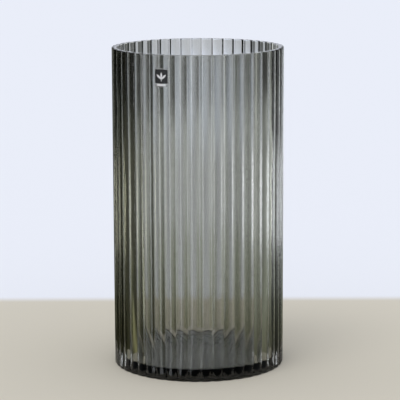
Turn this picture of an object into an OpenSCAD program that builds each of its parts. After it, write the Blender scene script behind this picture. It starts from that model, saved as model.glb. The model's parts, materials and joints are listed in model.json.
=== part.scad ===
// Ribbed glass cylinder vase with a small self-adhesive label under its rim.
// The vessel is one piece of glass: a thick solid base, a smooth round bore and a
// wall whose outside is moulded into upright rounded ribs.
// Origin: centre of the resting face. +Z is up, and the labelled side faces -Y.

/* [Body] */
// Outside diameter over the rib crests
vase_d = 160; // [120:1:220]
// Overall height
vase_h = 300; // [200:1:400]
// Wall thickness from the bore to a rib crest
wall_t = 5; // [4.5:0.1:8]

/* [Ribs] */
// Number of upright ribs round the outside
rib_count = 45; // [44:1:60]
// Radius of the rounded face of a rib, on a vase 160 mm across
rib_radius = 6.8; // [6.5:0.1:9]
// Turn of the ribs, from the front to the first crest on the right
rib_turn = 4.9; // [0:0.1:8]

/* [Base and rim] */
// Thickness of the solid base over the hollow under it
base_t = 8.5; // [6:0.5:20]
// Rounding of the outer edge that the vase stands on
heel_radius = 1.5; // [1:0.1:3]
// Rounding between the floor and the bore
floor_radius = 2; // [1:0.5:8]
// Rounding of the two edges of the rim
rim_radius = 0.9; // [0.5:0.1:1.2]
// Width of the flat ring that the vase stands on
foot_ring_w = 14; // [8:1:30]
// Depth of the shallow hollow under the base
hollow_h = 1.5; // [0.5:0.1:3]

/* [Label] */
// Width and height of the dark printed square
square_w = 12.5; // [11:0.5:13.5]
// Width of the light printed bar under the square
bar_w = 8; // [4:0.5:10]
// Height of the light printed bar
bar_h = 1.7; // [1:0.1:3]
// Clear film showing round the print
film_margin = 1.2; // [0.8:0.1:1.4]
// Distance from the rim down to the top of the film
label_drop = 12; // [5:1:60]
// Valley that the label bridges, counted to the left from the one at the front
label_valley = 3; // [0:1:10]
// How far the label sits to the right of that valley, negative to the left
label_shift = -1.3; // [-1.5:0.1:1.5]
// Thickness of each layer of the label
layer_t = 0.1; // [0.08:0.01:0.2]

/* [Hidden] */
$fn = 96;
overlap = 1;

outer_r = vase_d / 2;
bore_r = outer_r - wall_t;
// Ribs keep their proportions when the vase is made wider or narrower.
rib_r = rib_radius * vase_d / 160;
// Circle on which the rib centres lie
rib_circle_r = outer_r - rib_r;
rib_pitch = 360 / rib_count;
floor_z = hollow_h + base_t;

// The two rib centres beside the valley that the label bridges, in a frame turned to it
valley_turn = rib_turn - rib_pitch * (label_valley + 0.5);
bridge_x = rib_circle_r * sin(rib_pitch / 2);
bridge_y = -rib_circle_r * cos(rib_pitch / 2);
bar_gap = 0.5;
film_w = square_w + 2 * film_margin;
film_h = square_w + bar_gap + bar_h + 2 * film_margin;
square_z = vase_h - label_drop - film_margin - square_w;

// The sprig on the label: three slim leaves on a short stem.
leaf_h = 0.5 * square_w;
leaf_w = 0.3 * leaf_h;
// Radius of the two arcs that bound a leaf of that height and width
leaf_arc_r = (pow(leaf_h, 2) + pow(leaf_w, 2)) / (4 * leaf_w);
leaf_spread = 46;
stem_w = 0.05 * square_w;
stem_h = 0.3 * square_w;
motif_z = 0.14 * square_w;

glass_colour = [0.32, 0.34, 0.35, 0.55];
film_colour = [0.85, 0.87, 0.87, 0.4];
ink_colour = [0.07, 0.07, 0.08];
print_colour = [0.86, 0.86, 0.86];

// Half outline of a cylinder with its lower edge rounded.
module half_outline(radius, height, corner) {
    translate([0, corner])
        square([radius, height - corner]);
    square([radius - corner, height]);
    translate([radius - corner, corner])
        circle(corner);
}

module ribbed_body() {
    linear_extrude(height = vase_h) {
        circle(rib_circle_r);
        for (i = [0:rib_count - 1]) {
            rotate(rib_turn + i * rib_pitch)
                translate([0, -rib_circle_r])
                    circle(rib_r);
        }
    }
}

// The space inside the heel rounding and the outer edge of the rim.
module outer_envelope() {
    rotate_extrude() {
        intersection() {
            half_outline(outer_r, vase_h, heel_radius);
            translate([0, vase_h])
                mirror([0, 1])
                    half_outline(outer_r, vase_h, rim_radius);
        }
    }
}

// The hollow of the vase, open at the top.
module bore() {
    translate([0, 0, floor_z]) {
        rotate_extrude()
            half_outline(bore_r, vase_h - floor_z + overlap, floor_radius);
    }
}

// Rounds the inner edge of the rim over.
module rim_easing() {
    rotate_extrude() {
        difference() {
            translate([bore_r - overlap, vase_h - rim_radius])
                square([overlap + rim_radius, rim_radius + overlap]);
            translate([bore_r + rim_radius, vase_h - rim_radius])
                circle(rim_radius);
        }
    }
}

// A shallow domed hollow that leaves a flat ring to stand on.
module base_hollow() {
    hollow_r = outer_r - heel_radius - foot_ring_w;
    dome_r = (pow(hollow_r, 2) + pow(hollow_h, 2)) / (2 * hollow_h);
    translate([0, 0, hollow_h - dome_r])
        sphere(dome_r, $fn = 400);
}

module glass_vessel() {
    color(glass_colour) {
        difference() {
            intersection() {
                ribbed_body();
                outer_envelope();
            }
            bore();
            rim_easing();
            base_hollow();
        }
    }
}

// The two ribs and the valley filled between them, under that many layers of label.
module bridged_ribs(layers, height) {
    reach = rib_r + layers * layer_t;
    for (side = [-1, 1]) {
        translate([side * bridge_x, bridge_y, 0])
            cylinder(h = height, r = reach, center = true);
    }
    translate([-bridge_x, bridge_y - reach, -height / 2])
        cube([2 * bridge_x, reach, height]);
}

// One layer of the label: flat over the valley and wrapped on the two ribs, cut to the
// child's outline, whose origin is at the middle of the square's lower edge.
module label_layer(layer) {
    rotate([0, 0, valley_turn]) {
        intersection() {
            difference() {
                bridged_ribs(layer, 2 * vase_h);
                bridged_ribs(layer - 1, 3 * vase_h);
            }
            translate([label_shift, bridge_y, square_z]) {
                rotate([90, 0, 0])
                    linear_extrude(height = 2 * rib_r)
                        children();
            }
        }
    }
}

module leaf() {
    intersection_for (side = [-1, 1]) {
        translate([side * (leaf_arc_r - leaf_w / 2), leaf_h / 2])
            circle(leaf_arc_r);
    }
}

module label_film() {
    color(film_colour) {
        label_layer(1)
            translate([-film_w / 2, square_w + film_margin - film_h])
                square([film_w, film_h]);
    }
}

module label_panel() {
    color(ink_colour) {
        label_layer(2)
            translate([-square_w / 2, 0])
                square(square_w);
    }
}

module label_bar() {
    color(print_colour) {
        label_layer(2)
            translate([-bar_w / 2, -bar_gap - bar_h])
                square([bar_w, bar_h]);
    }
}

module label_motif() {
    color(print_colour) {
        label_layer(3) {
            translate([-stem_w / 2, motif_z])
                square([stem_w, stem_h]);
            for (turn = [-leaf_spread, 0, leaf_spread]) {
                translate([0, motif_z + stem_h / 2])
                    rotate(turn)
                        leaf();
            }
        }
    }
}

glass_vessel();
label_film();
label_panel();
label_motif();
label_bar();
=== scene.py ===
"""Looks of the ribbed glass cylinder vase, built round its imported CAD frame, in metres."""
import json
import math

import bmesh
import bpy
import numpy as np
from mathutils import Matrix, Vector


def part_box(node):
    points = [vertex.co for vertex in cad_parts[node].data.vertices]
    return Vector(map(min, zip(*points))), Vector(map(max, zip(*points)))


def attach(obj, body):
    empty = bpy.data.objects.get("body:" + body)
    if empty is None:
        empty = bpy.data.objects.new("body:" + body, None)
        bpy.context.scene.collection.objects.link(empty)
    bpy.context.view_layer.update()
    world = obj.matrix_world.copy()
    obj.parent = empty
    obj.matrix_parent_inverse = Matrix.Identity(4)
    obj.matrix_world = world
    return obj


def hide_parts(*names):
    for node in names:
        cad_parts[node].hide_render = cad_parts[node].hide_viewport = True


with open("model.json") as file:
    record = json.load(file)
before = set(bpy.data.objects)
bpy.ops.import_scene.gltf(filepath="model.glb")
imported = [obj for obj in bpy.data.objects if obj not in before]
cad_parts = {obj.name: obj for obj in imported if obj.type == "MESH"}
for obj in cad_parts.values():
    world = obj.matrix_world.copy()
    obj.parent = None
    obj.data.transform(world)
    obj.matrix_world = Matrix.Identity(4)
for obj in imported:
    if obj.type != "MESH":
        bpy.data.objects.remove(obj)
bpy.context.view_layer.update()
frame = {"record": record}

MM = 0.001

# ---------------------------------------------------------------- sizes
vessel_low, vessel_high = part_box("glass_vessel")
VASE_H = vessel_high.z
OUTER_R = round(max(-vessel_low.y, vessel_high.y), 3)
MOUTH = next(m for m in frame["record"]["mounts"] if m["name"] == "mouth")
BORE_R = MOUTH["dims"]["r_mm"] * MM

RIB_COUNT = 45
RIB_FACE_R = 6.8 * MM
RIB_TURN = math.radians(4.9)
RIB_PITCH = 2 * math.pi / RIB_COUNT
RIB_CIRCLE_R = OUTER_R - RIB_FACE_R
VALLEY_FILLET = 0.35 * MM

FLOOR_Z = 10 * MM
FLOOR_FILLET = 2 * MM
HEEL_R = 1.5 * MM
RIM_R = 0.9 * MM
HOLLOW_R = 64.5 * MM
HOLLOW_H = 1.5 * MM

# How finely the mesh follows the shape
FACE_STEPS = 16
VALLEY_STEPS = 4
ROUND_STEPS = 8
RIM_STEPS = 6
HOLLOW_RINGS = 9
HOLLOW_START_R = 6 * MM
WALL_RINGS = 16
BORE_RINGS = 26
WALL_MARGIN = 4 * MM
HEEL_GAP = 0.6 * MM
CREASE_GAP = 0.5 * MM
HEEL_BLEND = 0.25 * MM
FLOOR_SHARES = (0.99, 0.95, 0.89, 0.82, 0.73, 0.62, 0.5, 0.37, 0.24, 0.12, 0.04)

# Slight waves that the moulding left in the bore and on the floor. Each has a count round the
# bore, radians for each metre up it, and a phase.
BORE_WAVES = ((7, 21, 0.3), (13, -44, 1.7), (19, 63, 4.1), (29, -97, 2.2), (37, 120, 5.0))
BORE_WAVE_H = 0.02 * MM
WAVE_FADE = 12 * MM
FLOOR_WAVE_H = 0.02 * MM
FLOOR_WAVE_PACE = 3
FLOOR_EDGE_FADE = 0.1
FLOOR_MIDDLE_FADE = 0.2

# The smoke tint: absorption for each metre of glass, and the ripple in the surface
SMOKE_COLOUR = (0.08, 0.09, 0.0, 1)
SMOKE_DENSITY = 122.0
GLASS_IOR = 1.5
RIPPLE_STRETCH = (1.0, 1.0, 0.45)
RIPPLE_SCALE = 55
RIPPLE_H = 0.08 * MM


# ---------------------------------------------------------------- helpers
def new_object(name, bm, material, smooth=True):
    mesh = bpy.data.meshes.new(name)
    bmesh.ops.recalc_face_normals(bm, faces=bm.faces)
    bm.to_mesh(mesh)
    bm.free()
    for polygon in mesh.polygons:
        polygon.use_smooth = smooth
    mesh.materials.append(material)
    piece = bpy.data.objects.new(name, mesh)
    bpy.context.scene.collection.objects.link(piece)
    return piece


def stand_for(piece, node):
    """The piece is shown instead of the CAD node."""
    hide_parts(node)
    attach(piece, "root")


def new_material(name):
    material = bpy.data.materials.new(name)
    material.use_nodes = True
    nodes = material.node_tree.nodes
    return material, nodes, material.node_tree.links, nodes["Principled BSDF"]


def noise(nodes, links, stretch, scale, detail):
    """Noise in object space, stretched along the axes."""
    mapping = nodes.new("ShaderNodeMapping")
    mapping.inputs["Scale"].default_value = stretch
    links.new(nodes.new("ShaderNodeTexCoord").outputs["Object"], mapping.inputs["Vector"])
    texture = nodes.new("ShaderNodeTexNoise")
    texture.inputs["Scale"].default_value = scale
    texture.inputs["Detail"].default_value = detail
    links.new(mapping.outputs["Vector"], texture.inputs["Vector"])
    return texture.outputs["Fac"]


def bump(nodes, links, height, distance):
    node = nodes.new("ShaderNodeBump")
    node.inputs["Distance"].default_value = distance
    links.new(height, node.inputs["Height"])
    return node.outputs["Normal"]


def tint_between(nodes, links, factor, a, b):
    node = nodes.new("ShaderNodeMix")
    node.data_type = "RGBA"
    node.inputs["A"].default_value = (*a, 1)
    node.inputs["B"].default_value = (*b, 1)
    links.new(factor, node.inputs["Factor"])
    return node.outputs["Result"]


def spread(nodes, links, value, low, high):
    """A 0 to 1 socket brought to the range low to high."""
    node = nodes.new("ShaderNodeMapRange")
    node.inputs["To Min"].default_value = low
    node.inputs["To Max"].default_value = high
    links.new(value, node.inputs["Value"])
    return node.outputs["Result"]


# ---------------------------------------------------------------- the glass
def rib_outline():
    """Angle and radius of each point round the ribbed outside, with small fillets in the valleys."""
    half = RIB_PITCH / 2
    side = RIB_CIRCLE_R * math.sin(half)
    reach = RIB_FACE_R + VALLEY_FILLET
    fillet_r = RIB_CIRCLE_R * math.cos(half) + math.sqrt(reach**2 - side**2)
    meet = math.atan2(side, fillet_r - RIB_CIRCLE_R * math.cos(half))
    face_end = meet - half
    points = []
    for rib in range(RIB_COUNT):
        crest = RIB_TURN + rib * RIB_PITCH
        for a in np.linspace(-face_end, face_end, FACE_STEPS + 1):
            x = RIB_FACE_R * math.sin(a)
            y = RIB_CIRCLE_R + RIB_FACE_R * math.cos(a)
            points.append((crest + math.atan2(x, y), math.hypot(x, y)))
        for a in np.linspace(-meet, meet, VALLEY_STEPS + 1)[1:-1]:
            x = VALLEY_FILLET * math.sin(a)
            y = fillet_r - VALLEY_FILLET * math.cos(a)
            points.append((crest + half + math.atan2(x, y), math.hypot(x, y)))
    return np.array(points)


def arc(start, end, steps):
    return [math.radians(a) for a in np.linspace(start, end, steps + 1)]


def soft_min(a, b, blend):
    """The smaller of a and b, eased over where they cross."""
    t = np.clip(0.5 + 0.5 * (b - a) / blend, 0, 1)
    return b * (1 - t) + a * t - blend * t * (1 - t)


def bore_wave(angles, z):
    return sum(np.sin(count * angles + rate * z + phase) for count, rate, phase in BORE_WAVES)


def underside(level):
    """Rings from the middle of the domed hollow out to the start of the heel."""
    dome_r = (HOLLOW_R**2 + HOLLOW_H**2) / (2 * HOLLOW_H)
    for r in np.linspace(HOLLOW_START_R, HOLLOW_R, HOLLOW_RINGS):
        yield r * level, HOLLOW_H - dome_r + math.sqrt(dome_r**2 - r**2)
    # The flat foot, with rings near both its edges so that it shades flat
    foot_r = OUTER_R - HEEL_R
    for r in (HOLLOW_R + 0.4 * MM, HOLLOW_R + 5 * MM, foot_r - 2.5 * MM, foot_r - 1.3 * MM):
        yield r * level, 0.0


def outside(ribbed, level):
    """Rings round the heel and up the ribbed wall."""
    foot_r = OUTER_R - HEEL_R
    for a in arc(0, 90, ROUND_STEPS):
        edge = foot_r + HEEL_R * math.sin(a)
        yield soft_min(ribbed, edge * level, HEEL_BLEND), HEEL_R * (1 - math.cos(a))
    top = VASE_H - RIM_R
    yield ribbed, HEEL_R + HEEL_GAP
    for z in np.linspace(HEEL_R + WALL_MARGIN, top - WALL_MARGIN, WALL_RINGS):
        yield ribbed, z
    yield ribbed, top - CREASE_GAP


def rim(ribbed, level):
    """Rings over the rounded rim, from the ribs to the bore."""
    for a in arc(0, 90, RIM_STEPS):
        yield ribbed - RIM_R * (1 - math.cos(a)), VASE_H - RIM_R * (1 - math.sin(a))
    yield (ribbed + BORE_R) / 2, VASE_H
    for a in arc(90, 0, RIM_STEPS):
        yield (BORE_R + RIM_R * (1 - math.cos(a))) * level, VASE_H - RIM_R * (1 - math.sin(a))


def bore(angles, level):
    """Rings down the slightly wavy bore and round its fillet with the floor."""
    top = VASE_H - RIM_R
    bottom = FLOOR_Z + FLOOR_FILLET
    down = np.linspace(top - WALL_MARGIN, bottom + 3 * MM, BORE_RINGS)
    for z in (top - CREASE_GAP, *down, bottom + CREASE_GAP):
        fade = min(1, (top - z) / WAVE_FADE) * min(1, (z - bottom) / WAVE_FADE)
        yield BORE_R + BORE_WAVE_H * fade * bore_wave(angles, z), z
    for a in arc(0, 90, ROUND_STEPS):
        r = BORE_R - FLOOR_FILLET * (1 - math.cos(a))
        yield r * level, bottom - FLOOR_FILLET * math.sin(a)


def inner_floor(angles, level):
    """Rings from the fillet in to the middle of the floor."""
    floor_r = BORE_R - FLOOR_FILLET
    for share in FLOOR_SHARES:
        fade = min(1, (1 - share) / FLOOR_EDGE_FADE) * min(1, share / FLOOR_MIDDLE_FADE)
        wave = bore_wave(angles, FLOOR_WAVE_PACE * floor_r * share)
        yield floor_r * share * level, FLOOR_Z + FLOOR_WAVE_H * fade * wave


def build_vessel(material):
    """One closed mesh: under the base, up the outside, over the rim, down the bore to the floor."""
    angles, ribbed = rib_outline().T
    level = np.ones(len(angles))
    rings = (*underside(level), *outside(ribbed, level), *rim(ribbed, level),
             *bore(angles, level), *inner_floor(angles, level))
    bm = bmesh.new()
    loops = []
    for radii, z in rings:
        heights = np.broadcast_to(z, len(angles))
        loops.append([bm.verts.new((r * math.sin(a), -r * math.cos(a), h))
                      for a, r, h in zip(angles, radii, heights)])
    count = len(angles)
    for lower, upper in zip(loops, loops[1:]):
        for i in range(count):
            j = (i + 1) % count
            bm.faces.new((lower[i], lower[j], upper[j], upper[i]))
    bm.faces.new(loops[0])
    bm.faces.new(loops[-1])
    return new_object("vessel_glass", bm, material)


def smoke_glass():
    material, nodes, links, shader = new_material("smoke_glass")
    shader.inputs["Base Color"].default_value = (1, 1, 1, 1)
    shader.inputs["Roughness"].default_value = 0.0
    shader.inputs["IOR"].default_value = GLASS_IOR
    shader.inputs["Transmission Weight"].default_value = 1.0
    smoke = nodes.new("ShaderNodeVolumeAbsorption")
    smoke.inputs["Color"].default_value = SMOKE_COLOUR
    smoke.inputs["Density"].default_value = SMOKE_DENSITY
    links.new(smoke.outputs["Volume"], nodes["Material Output"].inputs["Volume"])
    ripple = noise(nodes, links, RIPPLE_STRETCH, RIPPLE_SCALE, detail=2)
    links.new(bump(nodes, links, ripple, RIPPLE_H), shader.inputs["Normal"])
    return material


# ---------------------------------------------------------------- the label
film_low, film_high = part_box("label_film")
RIBS_TO_VALLEY = 3
LABEL_TURN = RIB_TURN - RIB_PITCH * (RIBS_TO_VALLEY + 0.5)
# The film lies on two crests and bridges the valley between them, so beyond these it bends round.
BRIDGE_X = RIB_CIRCLE_R * math.sin(RIB_PITCH / 2)
BRIDGE_Y = RIB_CIRCLE_R * math.cos(RIB_PITCH / 2)
LABEL_X = -1.3 * MM
FILM_W = 14.9 * MM
FILM_MARGIN = 1.2 * MM
FILM_GAP = 0.02 * MM
FILM_T = 0.08 * MM
PRINT_T = 0.03 * MM
FILM_TOP = FILM_GAP + FILM_T
PRINT_TOP = FILM_TOP + PRINT_T
SQUARE = 12.5 * MM
SQUARE_Z = film_high.z - FILM_MARGIN - SQUARE
BAR_W = 8 * MM
BAR_H = 1.7 * MM
BAR_GAP = 0.5 * MM
STEM_W = 0.05 * SQUARE
STEM_H = 0.3 * SQUARE
STEM_Z = SQUARE_Z + 0.14 * SQUARE
LEAF_Z = STEM_Z + STEM_H / 2
LEAF_L = 0.5 * SQUARE
LEAF_W = 0.15 * SQUARE
LEAF_TURNS = (-46, 0, 46)


def on_label(x, z, lift):
    """A point lifted off the ribs: x across the label, z up."""
    beyond = max(0.0, abs(x) - BRIDGE_X)
    y = -BRIDGE_Y - math.sqrt((RIB_FACE_R + lift) ** 2 - beyond**2)
    turn = Matrix.Rotation(LABEL_TURN, 3, "Z")
    return turn @ Vector((x, y, z))


def patch(width, height, x, z, corner, columns=40, rows=12):
    """A grid over a rectangle with round corners, its lower edge at z."""
    grid = []
    for u in np.linspace(-width / 2, width / 2, columns + 1):
        into = max(0.0, abs(u) - width / 2 + corner)
        trim = corner - math.sqrt(max(0.0, corner**2 - into**2))
        grid.append([(x + u, v) for v in np.linspace(z + trim, z + height - trim, rows + 1)])
    return grid


def leaf(x, z, length, width, turn, steps=16, across=4):
    """A grid over a pointed leaf that grows from x, z, leaning left by turn."""
    grid = []
    for t in np.linspace(0, 1, steps + 1):
        # Nearly a sine, blunt at the root and the tip
        half = width / 2 * math.sin(math.pi * (0.02 + 0.96 * t)) ** 0.8
        grid.append([(x + v * math.cos(turn) - t * length * math.sin(turn),
                      z + v * math.sin(turn) + t * length * math.cos(turn))
                     for v in np.linspace(-half, half, across + 1)])
    return grid


def layer(name, grids, low, high, material):
    """Closed thin solids over the grids, between two lifts off the ribs."""
    bm = bmesh.new()
    for grid in grids:
        back, front = ([[bm.verts.new(on_label(x, z, lift)) for x, z in row] for row in grid]
                       for lift in (low, high))
        rows, columns = len(grid) - 1, len(grid[0]) - 1
        for i in range(rows):
            for j in range(columns):
                bm.faces.new((front[i][j], front[i + 1][j], front[i + 1][j + 1], front[i][j + 1]))
                bm.faces.new((back[i][j], back[i][j + 1], back[i + 1][j + 1], back[i + 1][j]))
        edge = ([(i, 0) for i in range(rows)] + [(rows, j) for j in range(columns)]
                + [(i, columns) for i in range(rows, 0, -1)] + [(0, j) for j in range(columns, 0, -1)])
        for (i, j), (k, m) in zip(edge, edge[1:] + edge[:1]):
            bm.faces.new((back[i][j], back[k][m], front[k][m], front[i][j]))
    return new_object(name, bm, material, smooth=False)


def build_label():
    film = layer("label_film_sheet",
                 [patch(FILM_W, film_high.z - film_low.z, LABEL_X, film_low.z, corner=1.0 * MM)],
                 FILM_GAP, FILM_TOP, clear_film())
    stand_for(film, "label_film")
    panel = layer("label_panel_print", [patch(SQUARE, SQUARE, LABEL_X, SQUARE_Z, corner=0.4 * MM)],
                  FILM_TOP, PRINT_TOP, black_print())
    stand_for(panel, "label_panel")
    pale = pale_print()
    bar_z = SQUARE_Z - BAR_GAP - BAR_H
    bar = layer("label_bar_print", [patch(BAR_W, BAR_H, LABEL_X, bar_z, corner=0.2 * MM, rows=3)],
                FILM_TOP, PRINT_TOP, pale)
    stand_for(bar, "label_bar")
    sprig = [patch(STEM_W, STEM_H, LABEL_X, STEM_Z, corner=0.1 * MM, columns=4, rows=6)]
    for turn in LEAF_TURNS:
        sprig.append(leaf(LABEL_X, LEAF_Z, LEAF_L, LEAF_W, math.radians(turn)))
    motif = layer("label_motif_print", sprig, PRINT_TOP, PRINT_TOP + PRINT_T, pale)
    stand_for(motif, "label_motif")


def clear_film():
    material, nodes, links, shader = new_material("clear_film")
    shader.inputs["Base Color"].default_value = (0.94, 0.95, 0.95, 1)
    shader.inputs["Transmission Weight"].default_value = 0.9
    shader.inputs["IOR"].default_value = 1.46
    creases = noise(nodes, links, (1, 1, 1), scale=900, detail=3)
    links.new(spread(nodes, links, creases, 0.06, 0.14), shader.inputs["Roughness"])
    links.new(bump(nodes, links, creases, 0.02 * MM), shader.inputs["Normal"])
    return material


def print_ink(name, dark, light, gloss, grain):
    """Ink with a faint grain: its tone and gloss change a little over the print."""
    material, nodes, links, shader = new_material(name)
    speckle = noise(nodes, links, (1, 1, 1), scale=grain, detail=4)
    links.new(tint_between(nodes, links, speckle, dark, light), shader.inputs["Base Color"])
    links.new(spread(nodes, links, speckle, *gloss), shader.inputs["Roughness"])
    links.new(bump(nodes, links, speckle, 0.01 * MM), shader.inputs["Normal"])
    return material


def black_print():
    return print_ink("black_print", dark=(0.006, 0.006, 0.007), light=(0.016, 0.016, 0.018),
                     gloss=(0.28, 0.42), grain=1500)


def pale_print():
    return print_ink("pale_print", dark=(0.62, 0.62, 0.64), light=(0.78, 0.78, 0.79),
                     gloss=(0.4, 0.6), grain=1800)


# ---------------------------------------------------------------- stage
def ramp(nodes, links, value, stops):
    """A smooth colour ramp over a socket; stops are (position, grey) or (position, colour)."""
    node = nodes.new("ShaderNodeValToRGB")
    node.color_ramp.interpolation = "EASE"
    elements = node.color_ramp.elements
    while len(elements) < len(stops):
        elements.new(0.5)
    for element, (position, colour) in zip(elements, stops):
        element.position = position
        element.color = (*colour, 1) if isinstance(colour, tuple) else (colour, colour, colour, 1)
    links.new(value, node.inputs["Fac"])
    return node.outputs["Color"]


def product(nodes, links, a, b):
    """Two colour sockets multiplied."""
    node = nodes.new("ShaderNodeMix")
    node.data_type = "RGBA"
    node.blend_type = "MULTIPLY"
    node.inputs["Factor"].default_value = 1.0
    links.new(a, node.inputs["A"])
    links.new(b, node.inputs["B"])
    return node.outputs["Result"]


def emission(name, sheer):
    """A glowing material and its colour socket; a sheer one adds to what is seen through it."""
    material = bpy.data.materials.new(name)
    material.use_nodes = True
    nodes, links = material.node_tree.nodes, material.node_tree.links
    nodes.clear()
    glow = nodes.new("ShaderNodeEmission")
    surface = nodes.new("ShaderNodeOutputMaterial").inputs["Surface"]
    if sheer:
        both = nodes.new("ShaderNodeAddShader")
        links.new(glow.outputs["Emission"], both.inputs[0])
        links.new(nodes.new("ShaderNodeBsdfTransparent").outputs["BSDF"], both.inputs[1])
        links.new(both.outputs["Shader"], surface)
    else:
        links.new(glow.outputs["Emission"], surface)
    return material, nodes, links, glow.inputs["Color"]


def tent_glow(name, shades, heights, colour, sheer):
    """Soft light whose colour changes along the panel and with height."""
    material, nodes, links, glow = emission(name, sheer)
    split = nodes.new("ShaderNodeSeparateXYZ")
    links.new(nodes.new("ShaderNodeTexCoord").outputs["UV"], split.inputs["Vector"])
    shades = [(azimuth, tuple(brightness * c for c in colour)) for azimuth, brightness in shades]
    factors = []
    for axis, stops in (("X", shades), ("Y", heights)):
        start, end = stops[0][0], stops[-1][0]
        along = nodes.new("ShaderNodeMapRange")
        along.inputs["From Min"].default_value = start
        along.inputs["From Max"].default_value = end
        links.new(split.outputs[axis], along.inputs["Value"])
        stops = [((place - start) / (end - start), shade) for place, shade in stops]
        factors.append(ramp(nodes, links, along.outputs["Result"], stops))
    links.new(product(nodes, links, *factors), glow)
    return material


# Glowing panels stand round the vase, seen only in the glass and the label. A profile is radius
# and height. Shades are azimuth and brightness: the azimuth is counted in degrees from behind
# the vase, positive to the right. Heights are a height and what the brightness is multiplied by
# there. The brightness eases from one stop to the next.
WARM = (1.0, 1.0, 0.76)
COOL = (1.0, 1.04, 1.06)
PANEL_STEPS = 32

# The tent: what the sides of the glass show when looked through. Low down its light is the
# table's, dimmer and more yellow.
TENT_PROFILE = ((0.13, 0.001), (0.2, 0.03), (0.28, 0.08), (0.34, 0.16), (0.35, 0.45))
LEFT_SHADES = ((-125, 0.15), (-108, 0.15), (-101, 0.9), (-94, 0.15), (-63, 0.12), (-55, 0.22))
LEFT_HEIGHTS = ((0.0, (0.55, 0.53, 0.37)), (0.05, (0.68, 0.69, 0.58)), (0.09, 1.0), (0.16, 1.0),
                (0.19, 0.6), (0.23, 0.14), (0.45, 0.05))
BACK_LEFT_SHADES = ((-55, 0.22), (-46, 0.58), (-33, 1.12), (-21, 1.05))
BACK_RIGHT_SHADES = ((23, 1.05), (28, 1.1), (33, 0.75))
BACK_HEIGHTS = ((0.0, (0.40, 0.38, 0.27)), (0.05, (0.64, 0.65, 0.55)), (0.1, 1.0), (0.16, 1.0),
                (0.22, 0.2), (0.45, 0.1))
RIGHT_SHADES = ((33, 0.75), (41, 1.2), (49, 0.45), (57, 1.1), (64, 1.4), (72, 1.0), (82, 0.55),
                (94, 1.05), (125, 0.5))
RIGHT_HEIGHTS = ((0.0, (0.33, 0.32, 0.23)), (0.05, (0.60, 0.61, 0.52)), (0.1, 1.0), (0.18, 1.0),
                 (0.25, 0.18), (0.45, 0.1))

# Narrow upright lights high on the right, whose shades are turned to each place, and a broad
# glow high up behind
BAR_TURNS = (41, 57, 72, 97)
BAR_SHADES = ((-7, 0.0), (0, 0.85), (7, 0.0))
BAR_HEIGHTS = ((0.18, 0.0), (0.25, 1.0), (0.32, 0.8))
GLOW_SHADES = ((-12, 0.0), (0, 0.25), (16, 0.42), (36, 0.0))
GLOW_HEIGHTS = ((0.12, 0.0), (0.19, 1.0), (0.235, 1.0), (0.275, 0.0))
GLOW_TINT = (0.93, 1.1, 1.55)

# What the glass mirrors: strip lights at both sides, one more high on the right, a dark card in
# front with one slim light in it, and a dark card behind on the left
STRIP_PROFILE = ((0.12, 0.002), (0.18, 0.03), (0.25, 0.08), (0.30, 0.16), (0.31, 0.32))
RIGHT_STRIP = ((58, 0.0), (78, 6.0), (100, 6.0), (118, 0.0))
RIGHT_STRIP_HEIGHTS = ((0.03, 0.0), (0.06, 0.12), (0.1, 0.9), (0.14, 1.0), (0.2, 0.1), (0.32, 0.05))
HIGH_STRIP = ((32, 0.0), (39, 1.4), (50, 1.4), (58, 0.0))
HIGH_STRIP_HEIGHTS = ((0.12, 0.0), (0.18, 1.0), (0.24, 1.0), (0.32, 0.3))
LEFT_STRIP = ((-104, 0.0), (-93, 3.5), (-80, 3.5), (-68, 0.0))
LEFT_STRIP_HEIGHTS = ((0.03, 0.0), (0.06, 0.15), (0.09, 0.9), (0.13, 1.0), (0.19, 0.06), (0.32, 0.0))
CARD_PROFILE = ((0.095, 0.001), (0.16, 0.012), (0.24, 0.05), (0.28, 0.12), (0.30, 0.30))
CARD_SHADES = ((125, 0.35), (160, 0.09), (194, 0.09), (200, 3.6), (206, 3.6), (212, 0.09), (235, 0.3))
CARD_HEIGHTS = ((0.0, 0.4), (0.05, 0.8), (0.12, 1.2), (0.3, 1.4))
CARD_EDGE_SHADES = ((-62, 0.14), (-14, 0.14))
CARD_EDGE_HEIGHTS = ((0.002, 1.0), (0.32, 1.0))

# Two small low lights that glint on the heel; their shades are turned to each place
GLINT_TURNS = (107, 246)
GLINT_PROFILE = ((0.088, 0.0005), (0.094, 0.006), (0.10, 0.012))
GLINT_SHADES = ((0, 0.0), (2, 5.0), (5, 5.0), (7, 0.0))
GLINT_HEIGHTS = ((0.0005, 1.0), (0.008, 1.0), (0.012, 0.0))


def turned(shades, turn):
    """The same shades, that many degrees further round."""
    return [(azimuth + turn, brightness) for azimuth, brightness in shades]


def bent_panel(name, profile, shades, heights, colour=COOL, sheer=False):
    """A glowing panel part of the way round the vase, hidden from the camera and the table."""
    bm = bmesh.new()
    uv = bm.loops.layers.uv.new("azimuth_and_height")
    places = {}
    rows = []
    for r, z in profile:
        row = []
        for azimuth in np.linspace(shades[0][0], shades[-1][0], PANEL_STEPS + 1):
            turn = math.radians(azimuth)
            corner = bm.verts.new((r * math.sin(turn), r * math.cos(turn), z))
            places[corner] = (azimuth, z)
            row.append(corner)
        rows.append(row)
    for low, high in zip(rows, rows[1:]):
        for i in range(PANEL_STEPS):
            face = bm.faces.new((low[i], low[i + 1], high[i + 1], high[i]))
            for loop in face.loops:
                loop[uv].uv = places[loop.vert]
    panel = new_object(name, bm, tent_glow(name + "_glow", shades, heights, colour, sheer))
    panel.visible_camera = False
    panel.visible_diffuse = False
    panel.visible_shadow = False
    return panel


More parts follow.
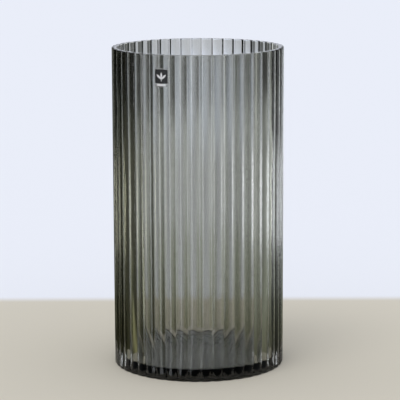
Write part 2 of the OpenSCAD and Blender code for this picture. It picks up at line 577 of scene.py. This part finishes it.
def build_tent():
    """Panels that show through the glass, as the cards and strip lights of a glass studio."""
    bent_panel("tent_left", TENT_PROFILE, LEFT_SHADES, LEFT_HEIGHTS, WARM)
    bent_panel("tent_right", TENT_PROFILE, RIGHT_SHADES, RIGHT_HEIGHTS)
    bent_panel("tent_back_left", TENT_PROFILE, BACK_LEFT_SHADES, BACK_HEIGHTS)
    bent_panel("tent_back_right", TENT_PROFILE, BACK_RIGHT_SHADES, BACK_HEIGHTS)
    bent_panel("back_glow", TENT_PROFILE, GLOW_SHADES, GLOW_HEIGHTS, GLOW_TINT, sheer=True)
    for turn in BAR_TURNS:
        bent_panel(f"bar_{turn}", STRIP_PROFILE, turned(BAR_SHADES, turn), BAR_HEIGHTS, sheer=True)


def build_mirrored():
    """Panels that show only as reflections."""
    panels = [
        bent_panel("strip_left", STRIP_PROFILE, LEFT_STRIP, LEFT_STRIP_HEIGHTS, WARM, sheer=True),
        bent_panel("strip_right", STRIP_PROFILE, RIGHT_STRIP, RIGHT_STRIP_HEIGHTS, sheer=True),
        bent_panel("strip_high", STRIP_PROFILE, HIGH_STRIP, HIGH_STRIP_HEIGHTS, sheer=True),
        bent_panel("card_front", CARD_PROFILE, CARD_SHADES, CARD_HEIGHTS),
        bent_panel("card_left", STRIP_PROFILE, CARD_EDGE_SHADES, CARD_EDGE_HEIGHTS, WARM),
    ]
    for turn in GLINT_TURNS:
        panels.append(bent_panel(f"glint_{turn}", GLINT_PROFILE, turned(GLINT_SHADES, turn),
                                 GLINT_HEIGHTS, sheer=True))
    for panel in panels:
        panel.visible_transmission = False


# The floor is a table top that gives way to a paler wall colour along a soft line behind the vase.
TABLE_EDGE = (0.235, 0.265)
TABLE_COLOUR = (0.661, 0.611, 0.497)
FAR_COLOUR = (0.856, 0.861, 0.873)
FLOOR_R = 30.0
DOME_COLOUR = (0.815, 0.847, 0.939, 1)

SUN_ENERGY = 0.5
SUN_WIDTH = math.radians(25)
SUN_TURN = (math.radians(20), math.radians(-15), 0)

CAMERA_PLACE = (1.6 * MM, -1.7758, 0.4812)
CAMERA_DOWN = math.radians(10.41)
CAMERA_ROLL = math.radians(-0.22)
CAMERA_LENS = 172.56
CAMERA_SENSOR = 36


def floor_paint():
    material, nodes, links, shader = new_material("floor_paint")
    shader.inputs["Roughness"].default_value = 0.7
    shader.inputs["Specular IOR Level"].default_value = 0.0
    split = nodes.new("ShaderNodeSeparateXYZ")
    links.new(nodes.new("ShaderNodeNewGeometry").outputs["Position"], split.inputs["Vector"])
    past_edge = nodes.new("ShaderNodeMapRange")
    past_edge.interpolation_type = "SMOOTHSTEP"
    past_edge.inputs["From Min"].default_value = TABLE_EDGE[0]
    past_edge.inputs["From Max"].default_value = TABLE_EDGE[1]
    links.new(split.outputs["Y"], past_edge.inputs["Value"])
    colour = tint_between(nodes, links, past_edge.outputs["Result"], TABLE_COLOUR, FAR_COLOUR)
    links.new(colour, shader.inputs["Base Color"])
    return material


def build_floor():
    bm = bmesh.new()
    bmesh.ops.create_circle(bm, cap_ends=True, segments=96, radius=FLOOR_R)
    new_object("floor", bm, floor_paint(), smooth=False)


def build_world():
    """A plain pale dome in the colour that the far floor shows, so that no horizon is seen there."""
    world = bpy.data.worlds.new("studio")
    bpy.context.scene.world = world
    world.use_nodes = True
    world.node_tree.nodes["Background"].inputs["Color"].default_value = DOME_COLOUR


def build_sun():
    """A wide, soft overhead light."""
    data = bpy.data.lights.new("overhead", "SUN")
    data.energy = SUN_ENERGY
    data.angle = SUN_WIDTH
    lamp = bpy.data.objects.new("overhead", data)
    lamp.rotation_euler = SUN_TURN
    bpy.context.scene.collection.objects.link(lamp)


def build_camera():
    data = bpy.data.cameras.new("camera")
    data.sensor_width = CAMERA_SENSOR
    data.lens = CAMERA_LENS
    camera = bpy.data.objects.new("camera", data)
    camera.location = CAMERA_PLACE
    pitch = Matrix.Rotation(math.radians(90) - CAMERA_DOWN, 3, "X")
    roll = Matrix.Rotation(CAMERA_ROLL, 3, "Z")
    camera.rotation_euler = (pitch @ roll).to_euler()
    bpy.context.scene.collection.objects.link(camera)
    bpy.context.scene.camera = camera


# ---------------------------------------------------------------- the scene
bpy.context.scene.view_settings.view_transform = "Standard"
build_camera()
build_world()
build_floor()
build_tent()
build_mirrored()
build_sun()
glass = build_vessel(smoke_glass())
stand_for(glass, "glass_vessel")
build_label()
